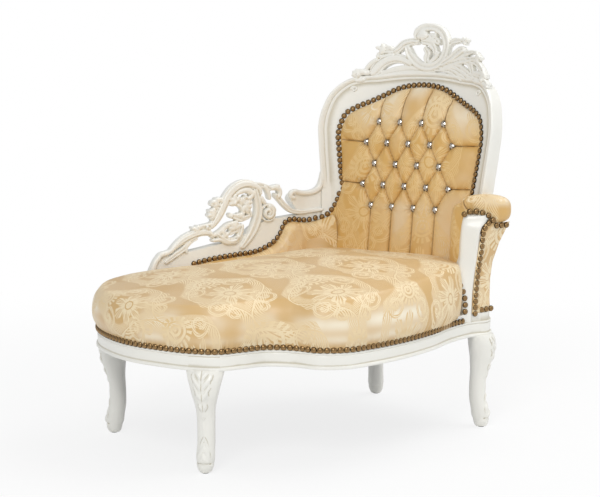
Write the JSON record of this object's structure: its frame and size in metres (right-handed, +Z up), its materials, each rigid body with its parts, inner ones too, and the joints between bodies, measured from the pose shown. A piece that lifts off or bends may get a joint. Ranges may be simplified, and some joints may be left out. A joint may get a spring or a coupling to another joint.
{
  "type": "chaise longue",
  "caption": "Small chaise longue with a carved ivory frame, cabriole legs, a tufted rounded back, a low carved side, a short scrolled arm and a crowned damask seat edged with nails",
  "frame": {"origin": "On the floor, under the middle of the bounding box", "axes": "+X runs from the foot end to the head end, +Y from the open side to the carved side, +Z up"},
  "size_m": [1.1103, 0.7817, 1.0994],
  "materials": {
    "lacquer": "ivory lacquer over carved wood, satin",
    "hidden_wood": "bare planed hardwood",
    "dowel_wood": "bare beech",
    "damask": "tone on tone champagne satin damask",
    "foam": "soft upholstery foam",
    "webbing": "woven jute webbing",
    "hessian": "woven hessian",
    "dust_cloth": "black dust cloth",
    "nail_brass": "antique brass domes",
    "setting_metal": "polished nickel rings",
    "crystal": "clear faceted glass",
    "screw_steel": "plain steel",
    "glide": "black plastic glides"
  },
  "bodies": {
    "root": {"arm_inner_pad": "damask", "arm_nails": "nail_brass", "arm_outer_cover": "damask", "arm_post": "lacquer", "arm_rail": "hidden_wood", "arm_roll": "damask", "back_board": "hidden_wood", "back_bottom_rail": "hidden_wood", "back_dowels": "dowel_wood", "back_foam": "foam", "back_nails": "nail_brass", "back_outside_cover": "damask", "back_pad": "damask", "back_rear_nails": "nail_brass", "back_stile_left": "lacquer", "back_stile_right": "lacquer", "back_top_rail": "lacquer", "button_crystals": "crystal", "button_settings": "setting_metal", "corner_blocks": "hidden_wood", "corner_screws": "screw_steel", "crest_carving": "lacquer", "dust_cover": "dust_cloth", "foot_glides": "glide", "leg_foot_front": "lacquer", "leg_foot_rear": "lacquer", "leg_head_front": "lacquer", "leg_head_rear": "lacquer", "rail_dowels": "dowel_wood", "seat_bearers": "hidden_wood", "seat_cover": "damask", "seat_foam": "foam", "seat_hessian": "hessian", "seat_nails": "nail_brass", "seat_rail_foot": "lacquer", "seat_rail_front": "lacquer", "seat_rail_head": "lacquer", "seat_rail_rear": "lacquer", "seat_webbing_cross": "webbing", "seat_webbing_long": "webbing", "side_carving": "lacquer", "side_frame": "lacquer", "side_nails": "nail_brass", "side_outside_cover": "damask", "side_pad": "damask"}
  },
  "joints": []
}
